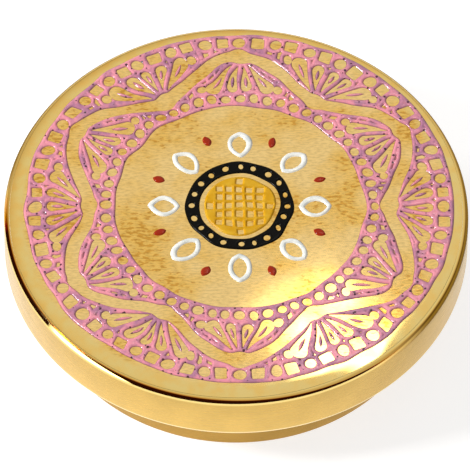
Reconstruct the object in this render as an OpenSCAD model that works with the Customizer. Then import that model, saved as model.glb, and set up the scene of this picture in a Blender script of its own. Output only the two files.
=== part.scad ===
// Round incense box in brass: a drum with a lift-off lid that overhangs it.
// The lid's top plate is etched into cells, and each cell is filled with enamel.
// Millimetres, +Z up, origin at the centre of the face that the drum stands on.

/* [Drum] */
// Outside diameter of the drum
base_d = 85; // [70:0.5:90]
// Height of the drum, from the table to the rim that carries the lid
base_h = 25; // [18:0.1:40]
// Thickness of the drum's wall
wall_t = 1.5; // [1.1:0.1:3]
// Thickness of the floor disc
floor_t = 1.5; // [0.8:0.1:3]
// Height of the floor disc above the table
floor_lift = 1.2; // [0.6:0.1:4]

/* [Lid] */
// Outside diameter of the lid
lid_d = 100; // [95:0.5:130]
// Height of the skirt band
skirt_h = 11.7; // [6:0.1:16]
// Thickness of the skirt band
skirt_t = 1.2; // [0.9:0.1:2]
// Thickness of the top plate at its edge, where it meets the skirt
plate_edge_t = 1.2; // [0.9:0.1:2]
// Width of the plain shoulder from the enamel to the skirt
shoulder_w = 2.5; // [2:0.1:5]
// Slope at which the shoulder, level at the enamel, meets the skirt
shoulder_slope = 33; // [28:1:40]
// Radius of the edge where the shoulder turns into the skirt
rim_r = 1.2; // [0.6:0.1:1.4]
// Depth to which the collar reaches into the drum
collar_depth = 6; // [3:0.1:10]
// Thickness of the collar
collar_t = 1.2; // [0.8:0.1:2]
// Gap all round between the collar and the drum
lid_clearance = 0.15; // [0.1:0.05:0.4]

/* [Enamel] */
// Depth of the etched cells
cell_depth = 0.6; // [0.3:0.05:1]
// Height of the enamel above the metal
enamel_rise = 0.15; // [0.05:0.05:0.3]
// Width of the enamel lines between the metal islands
line_w = 1.05; // [0.8:0.05:1.3]

/* [Vine border] */
// Width of the round and the square pebbles along the outer edge
pebble_w = 2.6; // [1.8:0.1:3]
// Diameter of the beads along the inner edge and of the loose pebbles
bead_d = 2; // [1.4:0.1:2.2]
// Waves of the vine
vine_n = 6; // [5:1:6]
// Width of the vine
vine_w = 2.6; // [1.6:0.1:2.8]
// Diameter of the knob on the vine from which a palmette grows
knob_d = 3.6; // [2.8:0.1:3.8]
// Distance from the vine's inner turns to its outer turns
vine_swing = 8; // [7.4:0.1:8.6]
// Lobes of the palmettes outside the vine
outer_lobes = 5; // [3:1:5]
// Angle between those lobes
outer_step = 24; // [20:1:25]
// Lobes of the palmettes inside the vine
inner_lobes = 4; // [3:1:4]
// Angle between those lobes
inner_step = 23; // [20:1:24]
// Width of the slit in a lobe
slit_w = 0.75; // [0.5:0.05:0.8]

/* [Rosette] */
// Diameter of the lattice at the centre
lattice_d = 15.6; // [12:0.1:17]
// Side of a window in the lattice
window_w = 1.3; // [1:0.05:1.6]
// Width of the bars between the windows
bar_w = 0.9; // [0.7:0.05:1.2]
// Width of the beaded ring
ring_w = 3; // [2.4:0.1:3.6]
// Diameter of the beads in the ring
dot_d = 1.2; // [0.8:0.05:1.6]
// Beads in the ring
dot_n = 20; // [12:1:24]
// Petals of the flower
petal_n = 8; // [6:1:8]
// Length of a petal
petal_l = 7.4; // [6:0.1:8.2]
// Width of a petal
petal_w = 5.4; // [4:0.1:5.6]
// Width of a petal's outline
petal_line = 1.2; // [0.8:0.05:1.4]
// Metal between the lattice, the ring and the petals
gap_w = 0.9; // [0.6:0.05:1.4]
// Length of the seeds between the petals
seed_l = 2.8; // [2:0.1:3.2]
// Width of the seeds
seed_w = 1.7; // [1:0.1:1.9]

/* [Hidden] */
$fn = 96;
solder_gap = 0.05;
edge_r = 0.5;
arc_steps = 10;
vine_steps = 24;
slit_share = 0.42;
slit_place = 0.64;
cut_clear = 1;

// Radii of the drum and the lid
base_r = base_d / 2;
bore_r = base_r - wall_t;
collar_r = bore_r - lid_clearance;
lid_r = lid_d / 2;
skirt_inner_r = lid_r - skirt_t;
plate_r = skirt_inner_r - solder_gap;
field_r = skirt_inner_r - shoulder_w;
shoulder_r = shoulder_w / sin(shoulder_slope);
rim_start_r = lid_r - rim_r * (1 - sin(shoulder_slope));

// Heights
skirt_top_z = base_h + plate_edge_t;
skirt_bottom_z = skirt_top_z - skirt_h;
field_z = skirt_top_z + shoulder_r * (1 - cos(shoulder_slope));
cell_floor_z = field_z - cell_depth;
rim_z = skirt_top_z - (rim_start_r - skirt_inner_r) * tan(shoulder_slope) - rim_r * cos(shoulder_slope);

// Rings of the vine border, from the outer edge inwards
pebble_r = field_r - line_w - pebble_w / 2;
outer_limit_r = pebble_r - pebble_w / 2 - line_w;
vine_r = outer_limit_r - vine_w / 2 - vine_swing / 2;
bead_r = vine_r - vine_swing / 2 - vine_w / 2 - line_w - bead_d / 2;
inner_limit_r = bead_r + bead_d / 2 + line_w;
reserve_r = bead_r - bead_d / 2 - line_w;

// Copies that fit round each ring; the pebbles are round and square by turns
pebble_n = 2 * vine_n * round(PI * pebble_r / (pebble_w + line_w) / vine_n);
bead_n = vine_n * round(2 * PI * bead_r / (bead_d + line_w) / vine_n);

// Roots of the palmettes, on the vine's inner and outer turns, and where the lobes start from them
outer_root_r = vine_r - vine_swing / 2;
inner_root_r = vine_r + vine_swing / 2;
lobe_start = knob_d / 2 + line_w;

// Rings of the rosette, from the centre outwards
lattice_r = lattice_d / 2;
ring_inner_r = lattice_r + gap_w;
ring_outer_r = ring_inner_r + ring_w;
petal_r = ring_outer_r + gap_w + petal_l / 2;
seed_r = ring_outer_r + gap_w + petal_l - seed_l / 2;

function polar(r, a) = [r * cos(a), r * sin(a)];

// Points on an arc from angle a0 to angle a1
function arc(centre, r, a0, a1) =
    [for (i = [0:arc_steps]) centre + polar(r, a0 + (a1 - a0) * i / arc_steps)];

// The vine's centre line, a wave round the field, and its direction in radius and in angle
function vine_wave(a) = vine_r - vine_swing / 2 * cos(vine_n * a);
function vine_slope(a) = vine_n * vine_swing / 2 * sin(vine_n * a);

// One side of the vine, all the way round
function vine_side(offset) =
    [for (i = [0:vine_n * vine_steps - 1])
        let (a = 360 * i / (vine_n * vine_steps), lean = atan2(vine_slope(a), vine_wave(a)))
        polar(vine_wave(a), a) + polar(offset, a - lean)];

// Lengths from a root to the circle that limits a palmette, at an angle from the palmette's middle
function reach_out(a) =
    sqrt(outer_limit_r * outer_limit_r - pow(outer_root_r * sin(a), 2)) - outer_root_r * cos(a);
function reach_in(a) =
    inner_root_r * cos(a) - sqrt(inner_limit_r * inner_limit_r - pow(inner_root_r * sin(a), 2));

// A pointed oval, the overlap of two equal circles
module pointed_oval(length, width) {
    r = (length * length + width * width) / (4 * width);
    intersection() {
        translate([0, r - width / 2]) circle(r);
        translate([0, width / 2 - r]) circle(r);
    }
}

// A drop: straight sides that open by an angle from a point, closed by an arc that runs on from them
module drop(length, angle) {
    centre = length / (1 + sin(angle / 2));
    turn = 90 + angle / 2;
    polygon(concat([[0, 0]], arc([centre, 0], centre * sin(angle / 2), -turn, turn)));
}

// Children repeated at equal angles about the centre
module round_about(count, start = 0)
    for (i = [0:count - 1]) rotate(start + 360 * i / count) children();

module ring_of(count, r, d)
    round_about(count) translate([r, 0]) circle(d = d);

// Metal islands of the vine border
module vine() {
    difference() {
        polygon(vine_side(vine_w / 2));
        polygon(vine_side(-vine_w / 2));
    }
}

// A lobe with a slit inside it, from the start of the lobes to a reach, both measured from the root
module lobe(reach, angle) {
    length = reach - lobe_start;
    translate([lobe_start, 0]) difference() {
        drop(length, angle);
        translate([length * slit_place, 0]) pointed_oval(length * slit_share, slit_w);
    }
}

module outer_palmette() {
    translate([outer_root_r, 0]) {
        circle(d = knob_d);
        for (i = [0:outer_lobes - 1]) {
            a = (i - (outer_lobes - 1) / 2) * outer_step;
            rotate(a) lobe(reach_out(a), outer_step);
        }
    }
}

module inner_palmette() {
    translate([inner_root_r, 0]) {
        circle(d = knob_d);
        for (i = [0:inner_lobes - 1]) {
            a = (i - (inner_lobes - 1) / 2) * inner_step;
            rotate(180 + a) lobe(reach_in(a), inner_step);
        }
    }
}

// Pebbles in the corners between the palmettes, a quarter wave from each
module loose_pebbles() {
    ring_of(1, outer_limit_r - bead_d / 2, bead_d);
    ring_of(1, inner_limit_r + bead_d / 2, bead_d);
}

module border_islands() {
    vine();
    ring_of(pebble_n / 2, pebble_r, pebble_w);
    round_about(pebble_n / 2, 360 / pebble_n) translate([pebble_r, 0]) square(pebble_w, center = true);
    ring_of(bead_n, bead_r, bead_d);
    round_about(vine_n) outer_palmette();
    round_about(vine_n, 180 / vine_n) inner_palmette();
    round_about(2 * vine_n, 90 / vine_n) loose_pebbles();
}

// Outlines of the cells, one module for each colour of enamel
module pink_cells() {
    difference() {
        circle(field_r);
        circle(reserve_r);
        border_islands();
    }
}

module black_cells() {
    difference() {
        circle(ring_outer_r);
        circle(ring_inner_r);
        ring_of(dot_n, (ring_inner_r + ring_outer_r) / 2, dot_d);
    }
}

module yellow_cells() {
    pitch = window_w + bar_w;
    reach = floor(lattice_r / pitch);
    difference() {
        circle(lattice_r);
        for (i = [-reach:reach], j = [-reach:reach])
            if (norm([abs(i) * pitch + window_w / 2, abs(j) * pitch + window_w / 2]) < lattice_r - bar_w / 2)
                translate([i * pitch, j * pitch]) square(window_w, center = true);
    }
}

module white_cells() {
    round_about(petal_n) translate([petal_r, 0]) {
        difference() {
            pointed_oval(petal_l, petal_w);
            pointed_oval(petal_l - 2 * petal_line, petal_w - 2 * petal_line);
        }
    }
}

module red_cells() {
    round_about(petal_n, 180 / petal_n) translate([seed_r, 0]) pointed_oval(seed_l, seed_w);
}

// A fill of enamel in its cells, a little proud of the metal
module enamel() {
    translate([0, 0, cell_floor_z]) linear_extrude(cell_depth + enamel_rise) children();
}

// The drum's wall, with its foot and rim eased, stands on its lower edge
module base_wall() {
    color("goldenrod")
    rotate_extrude() polygon(concat(
        [[bore_r, 0]],
        arc([base_r - edge_r, edge_r], edge_r, -90, 0),
        arc([base_r - edge_r, base_h - edge_r], edge_r, 0, 90),
        arc([bore_r + edge_r, base_h - edge_r], edge_r, 90, 180)));
}

// The floor disc is soldered into the wall a little above the table
module base_floor() {
    color("darkgoldenrod")
    translate([0, 0, floor_lift]) cylinder(h = floor_t, r = bore_r - solder_gap);
}

// The skirt band: its top runs on in the shoulder's slope and rounds into the outside
module lid_skirt() {
    color("gold")
    rotate_extrude() polygon(concat(
        arc([lid_r - edge_r, skirt_bottom_z + edge_r], edge_r, -90, 0),
        arc([lid_r - rim_r, rim_z], rim_r, 0, 90 - shoulder_slope),
        [[skirt_inner_r, skirt_top_z], [skirt_inner_r, skirt_bottom_z]]));
}

// The top plate: a flat field that rounds down over the shoulder to the skirt, with every cell etched in it
module lid_plate() {
    shoulder_end = 90 - asin((plate_r - field_r) / shoulder_r);
    color("gold")
    difference() {
        rotate_extrude() polygon(concat(
            [[0, base_h], [plate_r, base_h]],
            arc([field_r, field_z - shoulder_r], shoulder_r, shoulder_end, 90),
            [[0, field_z]]));
        translate([0, 0, cell_floor_z]) linear_extrude(cell_depth + cut_clear) {
            pink_cells();
            black_cells();
            yellow_cells();
            white_cells();
            red_cells();
        }
    }
}

// The collar hangs under the plate and plugs into the drum
module lid_collar() {
    color("darkgoldenrod")
    rotate_extrude() polygon(concat(
        [[collar_r - collar_t, base_h], [collar_r - collar_t, base_h - collar_depth]],
        arc([collar_r - edge_r, base_h - collar_depth + edge_r], edge_r, -90, 0),
        [[collar_r, base_h]]));
}

module pink_enamel() { color("orchid") enamel() pink_cells(); }
module black_enamel() { color("black") enamel() black_cells(); }
module yellow_enamel() { color("goldenrod") enamel() yellow_cells(); }
module white_enamel() { color("white") enamel() white_cells(); }
module red_enamel() { color("firebrick") enamel() red_cells(); }

base_wall();
base_floor();
lid_skirt();
lid_plate();
lid_collar();
pink_enamel();
black_enamel();
yellow_enamel();
white_enamel();
red_enamel();
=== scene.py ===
"""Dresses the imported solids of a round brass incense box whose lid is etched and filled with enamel."""
import math
from types import SimpleNamespace

import bpy
import numpy as np
from bpy.props import FloatProperty, FloatVectorProperty, IntProperty, PointerProperty
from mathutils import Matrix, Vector


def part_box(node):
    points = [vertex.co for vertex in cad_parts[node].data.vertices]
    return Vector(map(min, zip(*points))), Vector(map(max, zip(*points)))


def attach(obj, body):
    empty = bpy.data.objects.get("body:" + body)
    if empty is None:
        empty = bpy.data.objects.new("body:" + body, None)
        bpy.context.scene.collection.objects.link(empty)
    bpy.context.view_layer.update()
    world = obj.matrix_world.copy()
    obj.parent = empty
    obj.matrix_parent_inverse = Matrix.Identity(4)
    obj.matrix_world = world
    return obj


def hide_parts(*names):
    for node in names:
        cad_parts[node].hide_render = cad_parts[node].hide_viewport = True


bl_info = {
    "name": "Incense box",
    "version": (1, 0, 0),
    "blender": (4, 5, 0),
    "location": "3D View > Sidebar > Incense box",
    "description": "Builds the metal and the enamel of a round incense box round its packed solids",
    "category": "Add Mesh",
}

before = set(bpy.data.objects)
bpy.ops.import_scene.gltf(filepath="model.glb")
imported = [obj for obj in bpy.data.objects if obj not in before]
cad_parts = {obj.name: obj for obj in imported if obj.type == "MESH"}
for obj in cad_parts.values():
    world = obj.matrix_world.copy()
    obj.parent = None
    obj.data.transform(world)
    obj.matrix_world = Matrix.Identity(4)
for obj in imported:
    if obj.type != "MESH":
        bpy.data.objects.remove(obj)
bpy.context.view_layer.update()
MM = 0.001
FULL_TURN = 2 * math.pi
CAMERA_TILT = math.radians(54.2)  # of the camera above the table, which the cards round the rim follow
COLUMNS = 360  # points round a turned piece
EDGE_STEPS = 8  # points on an eased edge
SHARP = math.radians(50)  # an edge that turns further than this isn't smoothed


def linear(code):
    """Linear RGBA of an sRGB hex code: below 0.04045 a straight line, above it a power of 2.4."""
    srgb = np.array([int(code[i:i + 2], 16) for i in (1, 3, 5)]) / 255
    rgb = np.where(srgb <= 0.04045, srgb / 12.92, ((srgb + 0.055) / 1.055) ** 2.4)
    return (*rgb.tolist(), 1.0)


# Sizes and colours

def length(label, size_mm, note):
    """A size of the box, given in millimetres."""
    return FloatProperty(name=label, description=note, default=size_mm * MM, unit="LENGTH", precision=5)


def angle(label, degrees, note):
    """An angle, given in degrees."""
    return FloatProperty(name=label, description=note, default=math.radians(degrees), subtype="ANGLE")


def count(label, number, note):
    """A number of copies."""
    return IntProperty(name=label, description=note, default=number, min=1)


def fraction(label, part, note):
    """A part of a whole, from 0 to 1."""
    return FloatProperty(name=label, description=note, default=part, min=0, max=1, subtype="FACTOR")


def tint(label, code, note):
    """A colour, given as an sRGB hex code."""
    return FloatVectorProperty(
        name=label, description=note, default=linear(code), size=4, min=0, max=1, subtype="COLOR")


class IncenseBoxMetal(bpy.types.PropertyGroup):
    """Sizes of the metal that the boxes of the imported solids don't give"""
    wall_t: length("Drum wall", 1.5, "Thickness of the drum's wall")
    skirt_t: length("Skirt", 1.2, "Thickness of the lid's skirt")
    collar_t: length("Collar", 1.2, "Thickness of the collar under the lid")
    edge_r: length("Edge", 0.5, "Radius of the eased edges")
    shoulder_w: length("Shoulder", 2.5, "Width of the plain shoulder from the enamel to the skirt")
    crown: length("Crown", 0.3, "Fall of the lid's shallow dome from the centre to the shoulder")
    beat: length("Unevenness", 0.008, "Height of the hand-worked unevenness of the lid's top")
    beat_w: length("Unevenness width", 14, "Distance between the rises of that unevenness")


class IncenseBoxBorder(bpy.types.PropertyGroup):
    """Sizes of the border of vine, palmettes and pebbles"""
    rise: length("Enamel rise", 0.32, "Height of the enamel above the metal")
    roll: length("Enamel roll", 0.5, "Width over which the enamel's edge rolls down to the metal")
    line_w: length("Line", 1.05, "Width of the enamel lines between the metal islands")
    pebble_w: length("Pebble", 2.6, "Width of the pebbles along the outer edge")
    bead_d: length("Bead", 2, "Diameter of the beads along the inner edge and of the loose pebbles")
    vine_n: count("Waves", 6, "Waves of the vine")
    vine_w: length("Vine", 2.6, "Width of the vine")
    knob_d: length("Knob", 3.6, "Diameter of the knob from which a palmette grows")
    vine_swing: length("Swing", 8, "Distance from the vine's inner turns to its outer turns")
    outer_lobes: count("Outer lobes", 5, "Lobes of the palmettes outside the vine")
    outer_step: angle("Outer step", 24, "Angle between those lobes")
    inner_lobes: count("Inner lobes", 4, "Lobes of the palmettes inside the vine")
    inner_step: angle("Inner step", 23, "Angle between those lobes")
    slit_w: length("Slit", 0.75, "Width of the slit in a lobe")
    slit_share: fraction("Slit length", 0.42, "Length of the slit as a part of its lobe")
    slit_place: fraction("Slit place", 0.64, "Middle of the slit along its lobe")
    bar_n: count("Bars", 114, "Bars round the border that fill the ground between the motifs")
    bar_w: length("Bar", 0.95, "Width of those bars")
    drift: length("Drift", 0.35, "How far a hand-cut line strays sideways")
    drift_w: length("Drift width", 8, "Distance between the bends of a straying line")
    offset_x: length("Offset right", 0.8, "How far the pattern sits to the right of the lid's centre")
    offset_y: length("Offset back", 1.0, "How far the pattern sits behind the lid's centre")


class IncenseBoxRosette(bpy.types.PropertyGroup):
    """Sizes of the rosette at the lid's centre"""
    lattice_d: length("Lattice", 15.6, "Diameter of the lattice")
    window_w: length("Window", 1.3, "Side of a window in the lattice")
    bar_w: length("Bar", 0.9, "Width of the bars between the windows")
    ring_w: length("Ring", 3, "Width of the beaded ring")
    dot_d: length("Ring bead", 1.2, "Diameter of the beads in the ring")
    dot_n: count("Ring beads", 20, "Beads in the ring")
    petal_n: count("Petals", 8, "Petals of the flower")
    petal_l: length("Petal length", 7.4, "Length of a petal")
    petal_w: length("Petal width", 5.4, "Width of a petal")
    petal_line: length("Petal outline", 1.2, "Width of a petal's outline")
    gap_w: length("Gap", 0.9, "Metal between the lattice, the ring and the petals")
    seed_l: length("Seed length", 2.8, "Length of the seeds between the petals")
    seed_w: length("Seed width", 1.7, "Width of the seeds")


class IncenseBoxColours(bpy.types.PropertyGroup):
    """Colours of the metal and the enamels"""
    lid_brass: tint("Lid brass", "#F8D389", "Polished brass of the lid's top")
    shoulder_brass: tint("Shoulder brass", "#EDD083", "Polished brass of the lid's plain shoulder and rim")
    lid_warm: tint("Lid warm", "#F2C366", "Where the lid's polish is warmer")
    lid_fleck: tint("Lid fleck", "#C8861C", "Amber flecks in the polish")
    skirt_brass: tint("Skirt brass", "#DFB864", "Satin brass of the skirt")
    # A painted highlight: the pale brass along the skirt's lower edge stands in for the light that edge
    # catches.
    skirt_foot_highlight: tint("Skirt foot", "#FFEBB8", "Pale brass along the skirt's lower edge")
    drum_brass: tint("Drum brass", "#BC9342", "Older brass of the drum")
    pink: tint("Pink", "#F197A6", "Pink enamel")
    lilac: tint("Lilac", "#B67894", "Where the pink enamel turns to lilac")
    # The pits are the enamel's own. Along the edges this colour is partly a dark joint and partly painted
    # shade.
    pits_and_edge_shade: tint("Pit", "#4A1E34", "Pits and edges of the pink enamel")
    black: tint("Black", "#0B0A08", "Black enamel")
    yellow: tint("Yellow", "#D69C06", "Mustard yellow enamel")
    yellow_pale: tint("Pale yellow", "#E2B02A", "Where the yellow enamel is thin")
    white: tint("White", "#FBFAF2", "White enamel")
    # Painted shade: the white enamel's hollows, laid on in random clouds.
    white_shade: tint("White shade", "#D9DEDA", "Hollows of the white enamel")
    red: tint("Red", "#9E2606", "Brick red enamel")
    floor: tint("Floor", "#C4C4C4", "Floor under the box, which also glows")


# Surfaces

def arc(centre, radius, start, end, steps):
    """Points on an arc: the centre plus the radius turned from one angle in degrees to another."""
    return centre + radius * np.exp(1j * np.radians(np.linspace(start, end, steps)))


def rings(radii, columns):
    """Plan of one ring for each radius: the radius times evenly spaced directions."""
    return radii[:, None] * np.exp(1j * FULL_TURN * np.arange(columns) / columns)


def lathe(profile, columns=COLUMNS):
    """A profile of radius and height, given as a complex row, carried round the vertical axis."""
    plan = rings(profile.real, columns)
    return solid_points(plan, np.broadcast_to(profile.imag[:, None], plan.shape))


def solid_points(plan, height):
    """Points of one or more grids: the plan's real and imaginary parts are X and Y, the height is Z."""
    points = np.stack([plan.real, plan.imag, height], axis=-1)
    return points if points.ndim == 4 else points[None]


def piece(name, points, body, nodes, material, tube, edge=None):
    """One object from grids of points[copy, row, column].

    Columns close round. In a tube the rows close too; otherwise the first and the last row are capped by a
    polygon. Rows that run up outside and inwards on top make the faces point outwards. The edge is each
    point's distance inside an outline, which the materials read in millimetres.
    """
    copies, rows, columns, _ = points.shape
    index = np.arange(copies * rows * columns).reshape(copies, rows, columns)
    if tube:
        low, high = index, np.roll(index, -1, axis=1)
    else:
        low, high = index[:, :-1], index[:, 1:]
    quads = np.stack([low, np.roll(low, -1, axis=2), np.roll(high, -1, axis=2), high], axis=-1)
    faces = quads.reshape(-1, 4).tolist()
    if not tube:
        faces += index[:, 0, ::-1].tolist() + index[:, -1].tolist()
    mesh = bpy.data.meshes.new(name)
    mesh.from_pydata(points.reshape(-1, 3).tolist(), [], faces)
    mesh.shade_smooth()
    mesh.set_sharp_from_angle(angle=SHARP)
    if edge is not None:
        layer = mesh.attributes.new("edge_mm", "FLOAT", "POINT")
        layer.data.foreach_set("value", np.ascontiguousarray(edge / MM, dtype=np.float32).ravel())
    mesh.materials.append(material)
    made = bpy.data.objects.new(name, mesh)
    bpy.context.scene.collection.objects.link(made)
    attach(made, body)
    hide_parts(*nodes)
    return made


def ripple(plan, width, seed):
    """Smooth unevenness, mostly from -1 to 1: twice the mean of plane waves turned and sized by chance."""
    draw, waves = np.random.default_rng(seed), 10
    turn, phase = draw.uniform(0, FULL_TURN, waves), draw.uniform(0, FULL_TURN, waves)
    pace = FULL_TURN / (width * draw.uniform(0.7, 1.5, waves))
    along = plan.real[..., None] * np.cos(turn) + plan.imag[..., None] * np.sin(turn)
    return np.sin(along * pace + phase).mean(axis=-1) * 2


def lid_form():
    """Radii and heights of the lid's top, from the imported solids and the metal's sizes.

    The dome leans by twice its crown over its radius where it ends. The shoulder's parabola starts with that
    lean and bends down to the skirt's top. The rim's arc runs on from its slope there until it is upright.
    """
    metal = bpy.context.scene.incense_metal
    plate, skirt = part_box("lid_plate"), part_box("lid_skirt")
    form = SimpleNamespace(plate_r=plate[1][0], under_z=plate[0][2], field_z=plate[1][2], lid_r=skirt[1][0])
    form.field_r = form.lid_r - metal.skirt_t - metal.shoulder_w
    form.lean = 2 * metal.crown / form.field_r
    fall = form.field_z - skirt[1][2] - metal.crown - form.lean * metal.shoulder_w
    form.bend = fall / metal.shoulder_w ** 2
    form.rim_slope = math.atan(form.lean + 2 * form.bend * metal.shoulder_w)
    form.rim_r = metal.skirt_t / (1 - math.sin(form.rim_slope))
    form.rim_z = skirt[1][2] - form.rim_r * math.cos(form.rim_slope)
    return form


def metal_height(plan):
    """Height of the lid's top: a shallow parabola over the field, a steeper one that runs on from it over the
    shoulder, and a slight unevenness that dies out at the plate's edge."""
    metal, form = bpy.context.scene.incense_metal, lid_form()
    radius = abs(plan)
    past = np.maximum(radius - form.field_r, 0)
    fall = metal.crown * np.minimum(radius / form.field_r, 1) ** 2 + past * form.lean + past ** 2 * form.bend
    calm = np.clip((form.plate_r - radius) / (form.plate_r - form.field_r), 0, 1)
    return form.field_z - fall + metal.beat * calm * ripple(plan, metal.beat_w, seed=3)


def bead(distance, rise, roll):
    """Height of enamel over the metal at a distance inside its edge: a parabola up to the roll's width, level
    beyond it, and outside the edge a straight slope on down into the metal, to a deepest level."""
    inside, deepest = np.clip(distance / roll, None, 1), -1.4 * rise
    return np.maximum(np.where(inside > 0, 1 - (1 - inside) ** 2, 2 * inside) * rise, deepest)


def pattern_centre():
    """Point of the plan round which the pattern lies: the lid's centre, moved by the offsets."""
    border = bpy.context.scene.incense_border
    return border.offset_x + 1j * border.offset_y


def stray(plan):
    """Shift of a hand-cut line: the pattern's, plus one smooth unevenness for X and one for Y."""
    border = bpy.context.scene.incense_border
    drift = ripple(plan, border.drift_w, seed=11) + 1j * ripple(plan, border.drift_w, seed=12)
    return pattern_centre() + border.drift * drift


# Distances in the pattern, positive outside an outline

def fold(plan, copies, start):
    """Each point turned into the sector of the nearest of some equal copies, and the number of that copy."""
    step = FULL_TURN / copies
    nearest = np.round((np.angle(plan) - start) / step)
    return plan * np.exp(-1j * (start + nearest * step)), nearest.astype(int) % copies


def box_distance(plan, half, corner):
    """From a square with rounded corners: what lies past its inner square, less the rounding."""
    across, along = abs(plan.real) - half + corner, abs(plan.imag) - half + corner
    past = np.hypot(np.maximum(across, 0), np.maximum(along, 0))
    return past + np.minimum(np.maximum(across, along), 0) - corner


def drop_distance(plan, size, opening):
    """From a drop along X with its point at zero: from the point, a straight side or the round end."""
    sine, cosine = math.sin(opening / 2), math.cos(opening / 2)
    centre = size / (1 + sine)
    aside = abs(plan.imag)
    place = sine * aside + cosine * plan.real
    side = cosine * aside - sine * plan.real
    tip = abs(plan - centre) - centre * sine
    return np.where(place < 0, abs(plan), np.where(place > cosine * centre, tip, side))


def lens_distance(plan, size, width):
    """From the overlap of two equal circles, long along X: from a circle, or from the nearer point."""
    radius = (size ** 2 + width ** 2) / (4 * width)
    back = radius - width / 2
    aside, along = abs(plan.imag), abs(plan.real)
    past = (along - size / 2) * back > aside * size / 2
    return np.where(past, np.hypot(aside, along - size / 2), np.hypot(aside + back, along) - radius)


def blend_least(first, second, width):
    """The lesser of two distances, with the corner between them rounded over a width."""
    near = np.maximum(width - abs(first - second), 0) / width
    return np.minimum(first, second) - near ** 2 * width / 4


def border_rings():
    """Radii of the border's rings, from the outer edge inwards, and the copies that fit round them."""
    border, ring = bpy.context.scene.incense_border, SimpleNamespace(field=lid_form().field_r)
    ring.pebble = ring.field - border.line_w - border.pebble_w / 2
    ring.outer_limit = ring.pebble - border.pebble_w / 2 - border.line_w
    ring.vine = ring.outer_limit - border.vine_w / 2 - border.vine_swing / 2
    ring.bead = ring.vine - border.vine_swing / 2 - border.vine_w / 2 - border.line_w - border.bead_d / 2
    ring.inner_limit = ring.bead + border.bead_d / 2 + border.line_w
    ring.reserve = ring.bead - border.bead_d / 2 - border.line_w
    pebble_pitch, bead_pitch = border.pebble_w + border.line_w, border.bead_d + border.line_w
    ring.pebble_n = border.vine_n * round(math.pi * ring.pebble / pebble_pitch / border.vine_n)
    ring.bead_n = border.vine_n * round(FULL_TURN * ring.bead / bead_pitch / border.vine_n)
    return ring


def pebbles_distance(plan, copies, radius, start, width, seed, square=False):
    """From a ring of round or square pebbles, each a little larger or smaller, shifted and turned."""
    draw = np.random.default_rng(seed)
    size_play, shift_play, turn_play, rounding = 0.05, 0.06, 0.14, 0.14
    size = width / 2 * (1 + size_play * draw.uniform(-1, 1, copies))
    shift = shift_play * width * (draw.uniform(-1, 1, copies) + 1j * draw.uniform(-1, 1, copies))
    turn = np.exp(1j * turn_play * draw.uniform(-1, 1, copies))
    at, copy = fold(plan, copies, start)
    at = (at - radius - shift[copy]) * turn[copy]
    return box_distance(at, size[copy], width * rounding) if square else abs(at) - size[copy]


def palmettes_distance(plan, start, root, reach, lobes, step, inwards, seed):
    """From the slit lobes of all palmettes of one kind: the least distance from a lobe of the nearest one.

    A lobe is a drop, less a lens, as long as the reach at its bearing. Each leans a little by chance.
    """
    border = bpy.context.scene.incense_border
    draw, sway = np.random.default_rng(seed), math.radians(1.6)
    tilt = sway * draw.uniform(-1, 1, (border.vine_n, lobes))
    lead = border.knob_d / 2 + border.line_w
    at, copy = fold(plan, border.vine_n, start)
    at = root - at if inwards else at - root
    found = np.full(plan.shape, root)
    for lobe in range(lobes):
        bearing = (lobe - (lobes - 1) / 2) * step
        size = reach(bearing) - lead
        local = at * np.exp(-1j * (bearing + tilt[copy, lobe])) - lead
        drop = drop_distance(local, size, step)
        slit = lens_distance(local - size * border.slit_place, size * border.slit_share, border.slit_w)
        found = np.minimum(found, np.maximum(drop, -slit))
    return found


def border_distance(plan):
    """Distance from the metal in the border's enamel: the least of those from its edges and its islands.

    A lobe reaches from its palmette's root to a limiting ring. Where the islands leave room, short bars that
    point to the centre fill it, a line's width away from the rest.
    """
    border, ring = bpy.context.scene.incense_border, border_rings()
    radius, half_swing = abs(plan), border.vine_swing / 2
    root_out, root_in = ring.vine - half_swing, ring.vine + half_swing

    def reach_out(bearing):
        aside, ahead = root_out * math.sin(bearing), root_out * math.cos(bearing)
        return math.sqrt(ring.outer_limit ** 2 - aside ** 2) - ahead

    def reach_in(bearing):
        aside, ahead = root_in * math.sin(bearing), root_in * math.cos(bearing)
        return ahead - math.sqrt(ring.inner_limit ** 2 - aside ** 2)

    half_wave = math.pi / border.vine_n
    wave = border.vine_n * np.angle(plan)
    slope = border.vine_n * half_swing * np.sin(wave)
    off_line = abs(radius - ring.vine + half_swing * np.cos(wave))
    vine = off_line * radius / np.hypot(radius, slope) - border.vine_w / 2
    for start, root in ((0, root_out), (half_wave, root_in)):
        knob = abs(fold(plan, border.vine_n, start)[0] - root) - border.knob_d / 2
        vine = blend_least(vine, knob, border.line_w)
    between = math.pi / ring.pebble_n
    loose_out, loose_in = ring.outer_limit - border.bead_d / 2, ring.inner_limit + border.bead_d / 2
    islands = [
        ring.field - radius,
        radius - ring.reserve,
        vine,
        pebbles_distance(plan, ring.pebble_n, ring.pebble, 0, border.pebble_w, seed=21),
        pebbles_distance(plan, ring.pebble_n, ring.pebble, between, border.pebble_w, seed=22, square=True),
        pebbles_distance(plan, ring.bead_n, ring.bead, 0, border.bead_d, seed=23),
        pebbles_distance(plan, 2 * border.vine_n, loose_out, half_wave / 2, border.bead_d, seed=24),
        pebbles_distance(plan, 2 * border.vine_n, loose_in, half_wave / 2, border.bead_d, seed=25),
        palmettes_distance(plan, 0, root_out, reach_out, border.outer_lobes, border.outer_step,
                           inwards=False, seed=26),
        palmettes_distance(plan, half_wave, root_in, reach_in, border.inner_lobes, border.inner_step,
                           inwards=True, seed=27),
    ]
    nearest = np.minimum.reduce(islands)
    bars = abs(fold(plan, border.bar_n, half_wave / 2)[0].imag) - border.bar_w / 2
    return np.minimum(nearest, np.maximum(bars, border.line_w - nearest))


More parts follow.
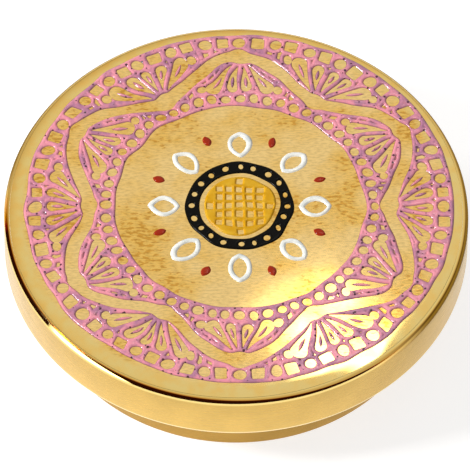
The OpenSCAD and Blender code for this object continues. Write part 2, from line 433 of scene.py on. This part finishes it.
def rosette_rings():
    """Radii of the rosette's rings, from the centre outwards."""
    rosette, ring = bpy.context.scene.incense_rosette, SimpleNamespace()
    ring.lattice = rosette.lattice_d / 2
    ring.beaded_inner = ring.lattice + rosette.gap_w
    ring.beaded_outer = ring.beaded_inner + rosette.ring_w
    ring.petal = ring.beaded_outer + rosette.gap_w + rosette.petal_l / 2
    ring.seed = ring.beaded_outer + rosette.gap_w + rosette.petal_l - rosette.seed_l / 2
    return ring


def lattice_distance(plan):
    """Distance from the metal in the lattice: from its round edge and from the nearest whole window."""
    rosette, ring = bpy.context.scene.incense_rosette, rosette_rings()
    half, pitch, rounding = rosette.window_w / 2, rosette.window_w + rosette.bar_w, 0.12
    column, row = np.round(plan.real / pitch), np.round(plan.imag / pitch)
    whole = np.hypot(abs(column) * pitch + half, abs(row) * pitch + half) < ring.lattice - rosette.bar_w / 2
    window = box_distance(plan - (column + 1j * row) * pitch, half, rosette.window_w * rounding)
    return np.minimum(ring.lattice - abs(plan), np.where(whole, window, pitch))


def beaded_ring_distance(plan):
    """Distance from the metal in the beaded ring: from its two edges and from the nearest bead."""
    rosette, ring = bpy.context.scene.incense_rosette, rosette_rings()
    middle = (ring.beaded_inner + ring.beaded_outer) / 2
    dots = pebbles_distance(plan, rosette.dot_n, middle, 0, rosette.dot_d, seed=31)
    return np.minimum(rosette.ring_w / 2 - abs(abs(plan) - middle), dots)


# Enamel

def lens_outline(size, width, columns):
    """A pointed oval round zero, long along X: an arc below from left to right, then one above back again."""
    radius = (size ** 2 + width ** 2) / (4 * width)
    half = np.arcsin(size / 2 / radius)
    sweep = np.linspace(-half, half, columns // 2, endpoint=False)
    below = radius * np.sin(sweep) + 1j * (radius - width / 2 - radius * np.cos(sweep))
    return np.concatenate([below, -below])


def enamel_sheet(inner, outer, rows, columns, distance):
    """A sheet on rings round the pattern's centre, from outside inwards: the metal's height plus the bead of
    the pattern's distance. Its first and last rows are sunk in the metal, so that it closes underneath."""
    border = bpy.context.scene.incense_border
    plan = pattern_centre() + rings(np.linspace(outer, inner, rows), columns)
    edge = distance(plan - stray(plan))
    height = metal_height(plan) + bead(edge, border.rise, border.roll)
    height[[0, -1]] -= 2 * border.rise
    return solid_points(plan, height), edge


def enamel_islands(outline, heart, bearings, insets):
    """Plan, edge distance and height of copies of an outline turned about the centre: rows step from it to
    its heart by the insets, and each row's height is the metal's plus the bead of the inset."""
    border = bpy.context.scene.incense_border
    towards = heart - outline
    gap = abs(towards)
    steps = outline + towards / gap * np.minimum(insets[:, None], gap)
    edge = np.broadcast_to(insets[None, :, None], (len(bearings), *steps.shape))
    plan = steps[None] * np.exp(1j * bearings)[:, None, None]
    plan = plan + stray(plan)
    return plan, edge, metal_height(plan) + bead(edge, border.rise, border.roll)


# Materials

def add_node(tree, kind, inputs=None, **settings):
    """Adds a node with its own settings; each input is given a value, or linked to another node's output.

    Sockets that share a name go by number. A mix has its factor at 0, and two numbers at 2 and 3 with their
    result at 0, or two colours at 6 and 7 with theirs at 2. A range of vectors has its value at 6, its limits
    at 7 to 10 and its result at 1.
    """
    made = tree.nodes.new(kind)
    for name, value in settings.items():
        setattr(made, name, value)
    for socket, value in (inputs or {}).items():
        if isinstance(value, bpy.types.NodeSocket):
            tree.links.new(value, made.inputs[socket])
        else:
            made.inputs[socket].default_value = value
    return made


def new_material(name):
    """A material with an empty node tree."""
    material = bpy.data.materials.new(name)
    material.use_nodes = True
    material.node_tree.nodes.clear()
    return material, material.node_tree


def polished_brass():
    """Brass sheet, polished by hand: a warm mirror, cloudy and flecked with amber where the field was worked.

    The strokes of the cloth are drawn coarser than real ones, so that they show.
    """
    colours = bpy.context.scene.incense_colours
    material, tree = new_material("polished brass")
    place = add_node(tree, "ShaderNodeTexCoord").outputs["Object"]
    tone = add_node(tree, "ShaderNodeTexNoise", {
        "Vector": place, "Scale": 1 / (11 * MM), "Detail": 3.0}).outputs["Fac"]
    cloud = add_node(tree, "ShaderNodeMapRange", {
        "Value": tone, "From Min": 0.4, "From Max": 0.62}).outputs["Result"]
    field = add_node(tree, "ShaderNodeMix", {
        0: cloud, 6: colours.lid_brass, 7: colours.lid_warm}, data_type="RGBA").outputs[2]

    fleck_at = add_node(tree, "ShaderNodeMapping", {
        "Vector": place, "Location": (3, 1, 0), "Scale": (1 / (1.5 * MM), 1 / (0.65 * MM), 1)})
    fleck = add_node(tree, "ShaderNodeTexNoise", {
        "Vector": fleck_at.outputs[0], "Scale": 1.0, "Detail": 2.0}).outputs["Fac"]
    fleck = add_node(tree, "ShaderNodeMath", {
        0: tone, 1: 1.2, 2: fleck}, operation="MULTIPLY_ADD").outputs[0]
    fleck = add_node(tree, "ShaderNodeMapRange", {
        "Value": fleck, "From Min": 1.25, "From Max": 1.36, "To Max": 0.62}).outputs["Result"]
    field = add_node(tree, "ShaderNodeMix", {
        0: fleck, 6: field, 7: colours.lid_fleck}, data_type="RGBA").outputs[2]

    stroke_at = add_node(tree, "ShaderNodeMapping", {
        "Vector": place, "Rotation": (0, 0, math.radians(-6)), "Scale": (1 / (1.2 * MM), 1 / (0.45 * MM), 1)})
    stroke = add_node(tree, "ShaderNodeTexNoise", {
        "Vector": stroke_at.outputs[0], "Scale": 1.0, "Detail": 2.0}).outputs["Fac"]
    shade = add_node(tree, "ShaderNodeMapRange", {
        "Value": stroke, "From Min": 0.3, "From Max": 0.6, "To Min": 0.82, "To Max": 1.05}).outputs["Result"]
    field = add_node(tree, "ShaderNodeMix", {
        0: 1.0, 6: field, 7: shade}, data_type="RGBA", blend_type="MULTIPLY").outputs[2]
    bump = add_node(tree, "ShaderNodeBump", {"Strength": 0.2, "Distance": 0.002 * MM, "Height": stroke})

    smear = add_node(tree, "ShaderNodeTexNoise", {
        "Vector": place, "Scale": 1 / (3 * MM), "Detail": 3.0}).outputs["Fac"]
    smear = add_node(tree, "ShaderNodeMapRange", {
        "Value": smear, "From Min": 0.4, "From Max": 0.65, "To Max": 0.6}).outputs["Result"]
    plain = add_node(tree, "ShaderNodeMix", {
        0: smear, 6: colours.shoulder_brass, 7: colours.lid_warm}, data_type="RGBA").outputs[2]
    inside = add_node(tree, "ShaderNodeAttribute", attribute_name="edge_mm").outputs["Fac"]
    worked = add_node(tree, "ShaderNodeMapRange", {"Value": inside, "From Max": 1.5}).outputs["Result"]
    base = add_node(tree, "ShaderNodeMix", {0: worked, 6: plain, 7: field}, data_type="RGBA").outputs[2]
    rough = add_node(tree, "ShaderNodeMapRange", {
        "Value": tone, "From Min": 0.3, "From Max": 0.7, "To Min": 0.06, "To Max": 0.11}).outputs["Result"]
    shader = add_node(tree, "ShaderNodeBsdfPrincipled", {
        "Base Color": base, "Metallic": 1.0, "Roughness": rough, "Normal": bump.outputs["Normal"]})
    add_node(tree, "ShaderNodeOutputMaterial", {"Surface": shader.outputs["BSDF"]})
    return material


def turned_brass(name, colour, roughness, edges=None):
    """Turned brass: a satin gleam drawn out round the piece by level tool lines.

    The lines are drawn coarser than real ones, so that they show. With the heights and the colours of its two
    edges it darkens as painted shade towards the upper one, which hands have rubbed to a mirror polish and
    which takes the second colour; the first colour, along the lower edge, is a pale painted highlight.
    """
    material, tree = new_material(name)
    place = add_node(tree, "ShaderNodeTexCoord").outputs["Object"]
    line_at = add_node(tree, "ShaderNodeMapping", {
        "Vector": place, "Scale": (1 / (14 * MM), 1 / (14 * MM), 1 / (0.3 * MM))})
    line = add_node(tree, "ShaderNodeTexNoise", {
        "Vector": line_at.outputs[0], "Scale": 1.0, "Detail": 3.0}).outputs["Fac"]
    bump = add_node(tree, "ShaderNodeBump", {"Strength": 0.12, "Distance": 0.01 * MM, "Height": line})
    rough = add_node(tree, "ShaderNodeMapRange", {
        "Value": line, "From Min": 0.3, "From Max": 0.7,
        "To Min": roughness - 0.06, "To Max": roughness + 0.06}).outputs["Result"]
    stain = add_node(tree, "ShaderNodeTexNoise", {
        "Vector": place, "Scale": 1 / (7 * MM), "Detail": 4.0}).outputs["Fac"]
    shade = add_node(tree, "ShaderNodeMapRange", {
        "Value": stain, "From Min": 0.35, "From Max": 0.7, "To Min": 1.0, "To Max": 0.9}).outputs["Result"]
    base = add_node(tree, "ShaderNodeMix", {
        0: 1.0, 6: colour, 7: shade}, data_type="RGBA", blend_type="MULTIPLY").outputs[2]
    if edges:
        lower, upper, pale, worn = edges
        height = add_node(tree, "ShaderNodeSeparateXYZ", {"Vector": place}).outputs["Z"]
        # Painted shade: the brass darkens from the lower edge towards the upper one.
        painted_top_shade = add_node(tree, "ShaderNodeMapRange", {
            "Value": height, "From Min": lower, "From Max": upper,
            "To Min": 1.03, "To Max": 0.86}).outputs["Result"]
        base = add_node(tree, "ShaderNodeMix", {
            0: 1.0, 6: base, 7: painted_top_shade}, data_type="RGBA", blend_type="MULTIPLY").outputs[2]
        top = add_node(tree, "ShaderNodeMapRange", {
            "Value": height, "From Min": upper - 0.3 * MM, "From Max": upper}).outputs["Result"]
        base = add_node(tree, "ShaderNodeMix", {0: top, 6: base, 7: worn}, data_type="RGBA").outputs[2]
        rough = add_node(tree, "ShaderNodeMix", {0: top, 2: rough, 3: 0.07}).outputs[0]
        # Painted highlight: a pale band along the skirt's lower edge.
        foot = add_node(tree, "ShaderNodeMapRange", {
            "Value": height, "From Min": lower + 0.75 * MM, "From Max": lower + 0.5 * MM}).outputs["Result"]
        base = add_node(tree, "ShaderNodeMix", {0: foot, 6: base, 7: pale}, data_type="RGBA").outputs[2]
    shader = add_node(tree, "ShaderNodeBsdfPrincipled", {
        "Base Color": base, "Metallic": 1.0, "Roughness": rough, "Normal": bump.outputs["Normal"]})
    add_node(tree, "ShaderNodeOutputMaterial", {"Surface": shader.outputs["BSDF"]})
    return material


def pink_enamel():
    """Soft-fired enamel: glossy, pink drifting to lilac, pitted by bubbles, and dark along its edges, where
    painted shade deepens a dark joint.
    """
    colours = bpy.context.scene.incense_colours
    material, tree = new_material("pink enamel")
    place = add_node(tree, "ShaderNodeTexCoord").outputs["Object"]
    cloud = add_node(tree, "ShaderNodeTexNoise", {
        "Vector": place, "Scale": 1 / (4 * MM), "Detail": 4.0, "Roughness": 0.6}).outputs["Fac"]
    cloud = add_node(tree, "ShaderNodeMapRange", {
        "Value": cloud, "From Min": 0.43, "From Max": 0.62}).outputs["Result"]
    base = add_node(tree, "ShaderNodeMix", {
        0: cloud, 6: colours.pink, 7: colours.lilac}, data_type="RGBA").outputs[2]

    inside = add_node(tree, "ShaderNodeAttribute", attribute_name="edge_mm").outputs["Fac"]
    # Dark line along the enamel's edges: partly its dark joint with the metal, partly painted shade of the
    # raised edge.
    rim = add_node(tree, "ShaderNodeMapRange", {
        "Value": inside, "From Min": 0.2, "From Max": 0.03, "To Max": 0.62}).outputs["Result"]
    base = add_node(tree, "ShaderNodeMix", {0: rim, 6: base, 7: colours.pits_and_edge_shade}, data_type="RGBA").outputs[2]

    cell = add_node(tree, "ShaderNodeTexVoronoi", {
        "Vector": place, "Scale": 1 / (1.7 * MM)}, voronoi_dimensions="2D")
    size = add_node(tree, "ShaderNodeSeparateColor", {"Color": cell.outputs["Color"]}).outputs["Red"]
    hole = add_node(tree, "ShaderNodeMath", {
        0: size, 1: -0.22, 2: cell.outputs["Distance"]}, operation="MULTIPLY_ADD").outputs[0]
    hole = add_node(tree, "ShaderNodeMapRange", {
        "Value": hole, "From Min": -0.01, "From Max": -0.07}).outputs["Result"]
    base = add_node(tree, "ShaderNodeMix", {0: hole, 6: base, 7: colours.pits_and_edge_shade}, data_type="RGBA").outputs[2]
    dent = add_node(tree, "ShaderNodeBump", {
        "Strength": 0.6, "Distance": 0.05 * MM, "Height": hole}, invert=True)
    grain = add_node(tree, "ShaderNodeTexNoise", {
        "Vector": place, "Scale": 1 / (0.8 * MM), "Detail": 2.0}).outputs["Fac"]
    bump = add_node(tree, "ShaderNodeBump", {
        "Strength": 0.3, "Distance": 0.03 * MM, "Height": grain, "Normal": dent.outputs["Normal"]})
    shader = add_node(tree, "ShaderNodeBsdfPrincipled", {
        "Base Color": base, "Roughness": 0.2, "Normal": bump.outputs["Normal"]})
    add_node(tree, "ShaderNodeOutputMaterial", {"Surface": shader.outputs["BSDF"]})
    return material


def plain_enamel(name, colour, thin, roughness, gloss=0.5):
    """Fired enamel of one colour: glossy and slightly wavy, with random clouds of a second colour: paler
    where the yellow lies thin, painted shade of hollows on the white.
    """
    material, tree = new_material(name)
    place = add_node(tree, "ShaderNodeTexCoord").outputs["Object"]
    cloud = add_node(tree, "ShaderNodeTexNoise", {
        "Vector": place, "Scale": 1 / (2.5 * MM), "Detail": 3.0}).outputs["Fac"]
    cloud = add_node(tree, "ShaderNodeMapRange", {
        "Value": cloud, "From Min": 0.4, "From Max": 0.7}).outputs["Result"]
    # For the white enamel the thin colour is painted shade of its hollows.
    base = add_node(tree, "ShaderNodeMix", {0: cloud, 6: colour, 7: thin}, data_type="RGBA").outputs[2]
    bump = add_node(tree, "ShaderNodeBump", {"Strength": 0.3, "Distance": 0.04 * MM, "Height": cloud})
    shader = add_node(tree, "ShaderNodeBsdfPrincipled", {
        "Base Color": base, "Roughness": roughness, "Specular IOR Level": gloss,
        "Normal": bump.outputs["Normal"]})
    add_node(tree, "ShaderNodeOutputMaterial", {"Surface": shader.outputs["BSDF"]})
    return material


# Operators

class IncenseBoxDrum(bpy.types.Operator):
    """Drum: the wall and the floor disc, turned from one profile each"""
    bl_idname = "incense.drum"
    bl_label = "Drum"

    def execute(self, context):
        metal = context.scene.incense_metal
        brass = turned_brass("aged turned brass", context.scene.incense_colours.drum_brass, roughness=0.3)
        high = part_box("base_wall")[1]
        outer, inner, edge = high[0], high[0] - metal.wall_t, metal.edge_r
        wall = np.concatenate([
            np.linspace(inner, outer - edge, 3, endpoint=False) + 0j,
            arc(outer - edge + 1j * edge, edge, -90, 0, EDGE_STEPS),
            arc(outer - edge + 1j * (high[2] - edge), edge, 0, 90, EDGE_STEPS),
            arc(inner + edge + 1j * (high[2] - edge), edge, 90, 180, EDGE_STEPS)])
        piece("drum_wall", lathe(wall), "drum", ["base_wall"], brass, tube=True)

        low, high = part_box("base_floor")
        hub = 0.5 * MM
        across = np.linspace(hub, high[0], 12)
        floor = np.concatenate([across + 1j * low[2], across[::-1] + 1j * high[2]])
        piece("drum_floor", lathe(floor, columns=240), "drum", ["base_floor"], brass,
              tube=False)
        return {"FINISHED"}


class IncenseBoxSkirt(bpy.types.Operator):
    """Skirt: the band round the lid, whose top runs on from the shoulder in one arc to the outside"""
    bl_idname = "incense.skirt"
    bl_label = "Skirt"

    def execute(self, context):
        metal, colours, form = context.scene.incense_metal, context.scene.incense_colours, lid_form()
        low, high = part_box("lid_skirt")
        outer, edge = high[0], metal.edge_r
        rim_end, rim_steps = 90 - math.degrees(form.rim_slope), 20
        band = np.concatenate([
            arc(outer - edge + 1j * (low[2] + edge), edge, -90, 0, EDGE_STEPS),
            arc(outer - form.rim_r + 1j * form.rim_z, form.rim_r, 0, rim_end, rim_steps),
            [outer - metal.skirt_t + 1j * low[2]]])
        # The skirt's foot gets a pale painted highlight, and the skirt darkens towards its top as painted
        # shade.
        edges = low[2], form.rim_z + form.rim_r / 4, colours.skirt_foot_highlight, colours.shoulder_brass
        brass = turned_brass("satin turned brass", colours.skirt_brass, roughness=0.27, edges=edges)
        piece("skirt_band", lathe(band), "lid", ["lid_skirt"], brass, tube=True)
        return {"FINISHED"}


class IncenseBoxCollar(bpy.types.Operator):
    """Collar: the ring under the lid that plugs into the drum"""
    bl_idname = "incense.collar"
    bl_label = "Collar"

    def execute(self, context):
        metal = context.scene.incense_metal
        low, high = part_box("lid_collar")
        outer, edge = high[0], metal.edge_r
        inner = outer - metal.collar_t
        collar = np.concatenate([
            [inner + 1j * low[2]],
            arc(outer - edge + 1j * (low[2] + edge), edge, -90, 0, EDGE_STEPS),
            [outer + 1j * high[2], inner + 1j * high[2]]])
        brass = turned_brass("inner turned brass", context.scene.incense_colours.drum_brass, roughness=0.3)
        piece("plug_collar", lathe(collar), "lid", ["lid_collar"], brass, tube=True)
        return {"FINISHED"}


class IncenseBoxPlate(bpy.types.Operator):
    """Top plate: a shallow dome that rolls over the shoulder to the skirt"""
    bl_idname = "incense.plate"
    bl_label = "Top plate"

    def execute(self, context):
        form = lid_form()
        hub, under_rows = 0.4 * MM, 8
        radii = np.concatenate([
            np.linspace(hub, form.plate_r, under_rows),
            np.linspace(form.plate_r, form.field_r, 24),
            np.linspace(form.field_r, hub, 70)[1:]])
        plan = rings(radii, columns=480)
        height = metal_height(plan)
        height[:under_rows] = form.under_z
        piece("top_plate", solid_points(plan, height), "lid", ["lid_plate"], polished_brass(),
              tube=False, edge=form.field_r - abs(plan))
        return {"FINISHED"}


class IncenseBoxPinkBorder(bpy.types.Operator):
    """Pink border: raised enamel in three overlapping rings, broken by vine, palmettes and pebbles"""
    bl_idname = "incense.pink_border"
    bl_label = "Pink border"

    def execute(self, context):
        border, ring = context.scene.incense_border, border_rings()
        names, enamel = ("inner", "middle", "outer"), pink_enamel()
        spare, lap = 2 * border.drift, 0.3 * MM
        cuts = np.linspace(ring.reserve - spare, ring.field + spare, len(names) + 1)
        for name, inner, outer in zip(names, cuts[:-1] - lap, cuts[1:] + lap):
            points, edge = enamel_sheet(inner, outer, rows=62, columns=1600, distance=border_distance)
            piece("pink_border_" + name, points, "lid", ["pink_enamel"], enamel,
                  tube=True, edge=edge)
        return {"FINISHED"}


class IncenseBoxRosetteEnamel(bpy.types.Operator):
    """Rosette: the yellow lattice, the black beaded ring, the white petals and the red seeds"""
    bl_idname = "incense.rosette"
    bl_label = "Rosette"

    def execute(self, context):
        colours, border = context.scene.incense_colours, context.scene.incense_border
        rosette, ring = context.scene.incense_rosette, rosette_rings()
        spare, hub = 2 * border.drift, 0.1 * MM
        yellow = plain_enamel("yellow enamel", colours.yellow, colours.yellow_pale, roughness=0.3, gloss=0.2)
        black = plain_enamel("black enamel", colours.black, colours.black, roughness=0.25, gloss=0.06)
        white = plain_enamel("white enamel", colours.white, colours.white_shade, roughness=0.2)
        red = plain_enamel("red enamel", colours.red, colours.red, roughness=0.18, gloss=0.2)

        points, edge = enamel_sheet(
            hub, ring.lattice + spare, rows=64, columns=320, distance=lattice_distance)
        points[0, -1, :, 2] += 2 * border.rise  # its middle is no edge, so it isn't sunk
        piece("yellow_lattice", points, "lid", ["yellow_enamel"], yellow,
              tube=False, edge=edge)

        points, edge = enamel_sheet(
            ring.beaded_inner - spare, ring.beaded_outer + spare, rows=34, columns=420,
            distance=beaded_ring_distance)
        piece("black_ring", points, "lid", ["black_enamel"], black, tube=True, edge=edge)

        # A petal's outline rises from its outer edge to the roll's width, then falls to its inner edge.
        turns = FULL_TURN * np.arange(rosette.petal_n) / rosette.petal_n
        insets = np.array([-0.25, 0, 0.2, 0.45, 0.75, 1.0]) * border.roll
        columns = 64
        outline = ring.petal + lens_outline(rosette.petal_l, rosette.petal_w, columns)
        lines = 2 * rosette.petal_line
        heart = ring.petal + lens_outline(rosette.petal_l - lines, rosette.petal_w - lines, columns)
        halves = (enamel_islands(outline, heart, turns, insets),
                  enamel_islands(heart, outline, turns, insets[::-1]))
        plan, edge, height = (np.concatenate(pair, axis=1) for pair in zip(*halves))
        piece("white_petals", solid_points(plan, height), "lid", ["white_enamel"], white,
              tube=True, edge=edge)

        columns = 40
        outline = ring.seed + lens_outline(rosette.seed_l, rosette.seed_w, columns)
        heart, between = np.full(columns, ring.seed), turns + math.pi / rosette.petal_n
        plan, edge, height = enamel_islands(outline, heart, between, insets)
        piece("red_seeds", solid_points(plan, height), "lid", ["red_enamel"], red,
              tube=False, edge=edge)
        return {"FINISHED"}


class IncenseBoxStage(bpy.types.Operator):
    """Stage: a pale floor, a white surround, soft lamps, cards that the metal mirrors, and the camera"""
    bl_idname = "incense.stage"
    bl_label = "Stage"

    def execute(self, context):
        scene = context.scene
        scene.view_settings.view_transform = "Standard"
        self.floor(scene)
        self.surround(scene)
        self.lamp(scene, "key softbox", place=(-1.0, 0.6, 0.7), size=0.4, power=6.5, mirrored=False)
        self.lamp(scene, "left softbox", place=(-1.085, -0.2, 0.86), size=0.28, power=14.0, mirrored=True)
        self.lamp(scene, "front softbox", place=(0.5, -1.2, 1.3), size=1.0, power=6.0, mirrored=False)
        self.strip(scene)
        dark = self.curtain("dark curtain", first=(0.3, 0.12, 0.0), last=(0.95, 0.8, 0.6), colour="#2C0C00")
        self.rim_card(scene, dark, reach=4 * MM, bearings=(172, 318), tops=(24, 58), foot=64,
                      depth=1.0, end_fade=0.1, top_fade=0.3)
        brown = self.curtain(
            "brown curtain", first=(0.15, 0.06, 0.0), last=(1.15, 1.08, 0.95), colour="#000000")
        self.rim_card(scene, brown, reach=2 * MM, bearings=(306, 545), tops=(34, 34), foot=88,
                      depth=0.9, end_fade=0.08, top_fade=0.2)
        window = self.glow("window", strength=6.0)
        self.rim_card(scene, window, reach=2.5 * MM, bearings=(216, 244), tops=(39, 62), foot=64,
                      depth=1.0, end_fade=0.12, top_fade=0.08)
        self.camera(scene)
        return {"FINISHED"}

    def floor(self, scene):
        """A square of lit white table that reaches well past the picture."""
        material, tree = new_material("white light table")
        shader = add_node(tree, "ShaderNodeBsdfPrincipled", {
            "Base Color": scene.incense_colours.floor, "Roughness": 0.9,
            "Emission Color": (1, 1, 1, 1), "Emission Strength": 0.7})
        add_node(tree, "ShaderNodeOutputMaterial", {"Surface": shader.outputs["BSDF"]})
        sides = np.array([-6.0, 6.0])
        plan = sides[:, None] + 1j * sides
        self.sheet(scene, "floor", material, solid_points(plan, np.zeros(plan.shape))[0])

    def sheet(self, scene, name, material, points):
        """An object of the stage from one grid of points[row, column]."""
        rows, columns, _ = points.shape
        index = np.arange(rows * columns).reshape(rows, columns)
        quads = np.stack([index[:-1, :-1], index[1:, :-1], index[1:, 1:], index[:-1, 1:]], axis=-1)
        mesh = bpy.data.meshes.new(name)
        mesh.from_pydata(points.reshape(-1, 3).tolist(), [], quads.reshape(-1, 4).tolist())
        mesh.materials.append(material)
        made = bpy.data.objects.new(name, mesh)
        scene.collection.objects.link(made)
        return made

    def surround(self, scene):
        """White for the camera; for metal a room that is bright above and behind and warmer elsewhere.

        Its red starts lowest and its blue highest, so that the half tones between are warm.
        """
        world = bpy.data.worlds.new("white studio")
        scene.world = world
        world.use_nodes = True
        tree = world.node_tree
        tree.nodes.clear()
        path = add_node(tree, "ShaderNodeLightPath").outputs
        way = add_node(tree, "ShaderNodeTexCoord").outputs["Generated"]
        lean = add_node(tree, "ShaderNodeVectorMath", {
            0: way, 1: (0.25, 0.38, 0.89)}, operation="DOT_PRODUCT").outputs["Value"]
        room = add_node(tree, "ShaderNodeMapRange", {
            6: lean, 7: (0.44, 0.50, 0.56), 8: (0.88, 0.93, 0.97),
            9: (0.62, 0.54, 0.40), 10: (0.84, 0.84, 0.84)},
            data_type="FLOAT_VECTOR", interpolation_type="SMOOTHSTEP").outputs[1]
        mirrored = add_node(tree, "ShaderNodeMath", {
            0: path["Is Glossy Ray"], 1: path["Is Transmission Ray"]}, operation="MAXIMUM").outputs[0]
        level = add_node(tree, "ShaderNodeMix", {
            0: mirrored, 6: (0.24, 0.24, 0.24, 1), 7: room}, data_type="RGBA").outputs[2]
        level = add_node(tree, "ShaderNodeMix", {
            0: path["Is Camera Ray"], 6: level, 7: (1, 1, 1, 1)}, data_type="RGBA").outputs[2]
        light = add_node(tree, "ShaderNodeBackground", {"Color": level})
        add_node(tree, "ShaderNodeOutputWorld", {"Surface": light.outputs["Background"]})

    def strip(self, scene):
        """A strip over the lid, straight at one height: a white patch at the lower right of the lid.

        Its glow fades in along it and from its left side.
        """
        start, end, height, half = (10 + 120j) * MM, (110 - 35j) * MM, 225 * MM, 16 * MM
        start_fade, side_fade = 0.12, 0.7
        along, across = np.linspace(0, 1, 40)[:, None], np.linspace(-1, 1, 20)[None]
        plan = start + (end - start) * along + 1j * half * across * (end - start) / abs(end - start)
        share = np.clip(along / start_fade, 0, 1) * np.clip((1 + across) / side_fade, 0, 1)
        points = solid_points(plan, np.full(plan.shape, height))[0]
        self.card(scene, self.glow("light strip", strength=6.0), points, share)

    def rim_card(self, scene, material, reach, bearings, tops, foot, depth, end_fade, top_fade):
        """A card close to the lid's rim, where the camera sees it mirrored from one bearing to another.

        A point of the rim's arc, plus the line of sight turned back by the outward direction there. The arc
        is taken from its tilt at the card's top, which changes along the card, down to the foot, or to where
        sight grazes the rim. The share rises to the depth from both ends and from the top. Angles are in
        degrees.
        """
        form = lid_form()
        columns, rows = 80, 16
        along, down = np.linspace(0, 1, columns)[:, None], np.linspace(0, 1, rows)[None]
        bearing = np.radians(bearings[0] + (bearings[1] - bearings[0]) * along) + 0 * down
        top = np.radians(tops[0] + (tops[1] - tops[0]) * along ** 3)
        rise, run = math.sin(CAMERA_TILT), math.cos(CAMERA_TILT)
        grazing = np.arctan2(rise, run * np.maximum(np.sin(bearing), 0))
        tilt = top + (np.minimum(math.radians(foot), grazing) - top) * down
        around = np.exp(1j * bearing)
        outward = solid_points(np.sin(tilt) * around, np.cos(tilt))[0]
        sight = np.array([0, run, -rise])
        mirrored = sight - 2 * (outward @ sight)[..., None] * outward
        radius = form.lid_r - form.rim_r + form.rim_r * np.sin(tilt)
        rim = solid_points(radius * around, form.rim_z + form.rim_r * np.cos(tilt))[0]
        ends = np.clip(np.minimum(along, 1 - along) / end_fade, 0, 1)
        self.card(scene, material, rim + reach * mirrored, depth * ends * np.clip(down / top_fade, 0, 1))

    def card(self, scene, material, points, share):
        """A sheet, there to the share given at each point, that shiny surfaces alone show."""
        made = self.sheet(scene, material.name, material, points)
        layer = made.data.attributes.new("share", "FLOAT", "POINT")
        layer.data.foreach_set("value", share.astype(np.float32).ravel())
        made.visible_camera = made.visible_diffuse = made.visible_shadow = False

    def glow(self, name, strength):
        """A lit white screen: a white patch in the metal."""
        material, tree = new_material(name)
        share = add_node(tree, "ShaderNodeAttribute", attribute_name="share").outputs["Fac"]
        shine = add_node(tree, "ShaderNodeEmission", {"Color": linear("#FFFDF2"), "Strength": strength})
        clear = add_node(tree, "ShaderNodeBsdfTransparent")
        mix = add_node(tree, "ShaderNodeMixShader", {0: share, 1: clear.outputs[0], 2: shine.outputs[0]})
        add_node(tree, "ShaderNodeOutputMaterial", {"Surface": mix.outputs[0]})
        return material

    def curtain(self, name, first, last, colour):
        """A curtain that holds back each of red, green and blue from one share of the card to another.

        Blue goes first and red last: a dark line with a brown edge.
        """
        material, tree = new_material(name)
        share = add_node(tree, "ShaderNodeAttribute", attribute_name="share").outputs["Fac"]
        passed = add_node(tree, "ShaderNodeMapRange", {
            6: share, 7: first, 8: last, 9: (1, 1, 1), 10: (0, 0, 0)}, data_type="FLOAT_VECTOR").outputs[1]
        clear = add_node(tree, "ShaderNodeBsdfTransparent", {"Color": passed})
        shine = add_node(tree, "ShaderNodeEmission", {"Color": linear(colour)})
        both = add_node(tree, "ShaderNodeAddShader", {0: clear.outputs[0], 1: shine.outputs[0]})
        add_node(tree, "ShaderNodeOutputMaterial", {"Surface": both.outputs[0]})
        return material

    def lamp(self, scene, name, place, size, power, mirrored):
        """A square softbox turned to the box, which shiny surfaces show if it is mirrored."""
        data = bpy.data.lights.new(name, "AREA")
        data.shape, data.size, data.energy = "SQUARE", size, power
        made = bpy.data.objects.new(name, data)
        made.visible_glossy = mirrored
        made.location = place
        made.rotation_euler = (-Vector(place)).to_track_quat("-Z", "Y").to_euler()
        scene.collection.objects.link(made)

    def camera(self, scene):
        """A long lens high above the table, aimed a little below the lid's edge."""
        aside, drop, distance = -0.22 * MM, 5.0 * MM, 2.169
        rise, run = math.sin(CAMERA_TILT), math.cos(CAMERA_TILT)
        aim = Vector((aside, 0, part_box("lid_skirt")[1][2])) - drop * Vector((0, rise, run))
        back = Vector((0, -run, rise))
        data = bpy.data.cameras.new("camera")
        data.sensor_width, data.lens = 36.0, 772.2
        made = bpy.data.objects.new("camera", data)
        made.location = aim + back * distance
        made.rotation_euler = (-back).to_track_quat("-Z", "Y").to_euler()
        scene.collection.objects.link(made)
        scene.camera = made


class IncenseBoxPanel(bpy.types.Panel):
    """Lists the steps that build the box"""
    bl_idname = "VIEW3D_PT_incense_box"
    bl_label = "Incense box"
    bl_space_type = "VIEW_3D"
    bl_region_type = "UI"
    bl_category = "Incense box"

    def draw(self, context):
        for operator in OPERATORS:
            self.layout.operator(operator.bl_idname)
        for group in GROUPS:
            settings = getattr(context.scene, group)
            box = self.layout.box()
            for name in settings.__annotations__:
                box.prop(settings, name)


OPERATORS = (IncenseBoxDrum, IncenseBoxSkirt, IncenseBoxCollar, IncenseBoxPlate, IncenseBoxPinkBorder,
             IncenseBoxRosetteEnamel, IncenseBoxStage)
GROUPS = {"incense_metal": IncenseBoxMetal, "incense_border": IncenseBoxBorder,
          "incense_rosette": IncenseBoxRosette, "incense_colours": IncenseBoxColours}


def register():
    """Registers the classes and gives the scene their settings."""
    for kind in (*GROUPS.values(), *OPERATORS, IncenseBoxPanel):
        bpy.utils.register_class(kind)
    for name, group in GROUPS.items():
        setattr(bpy.types.Scene, name, PointerProperty(type=group))


def unregister():
    """Takes the settings and the classes away again."""
    for name in GROUPS:
        delattr(bpy.types.Scene, name)
    for kind in (IncenseBoxPanel, *reversed(OPERATORS), *reversed(GROUPS.values())):
        bpy.utils.unregister_class(kind)


def main():
    """Builds the box and its stage."""
    register()
    bpy.ops.incense.drum()
    bpy.ops.incense.skirt()
    bpy.ops.incense.collar()
    bpy.ops.incense.plate()
    bpy.ops.incense.pink_border()
    bpy.ops.incense.rosette()
    bpy.ops.incense.stage()


if __name__ == "__main__":
    main()
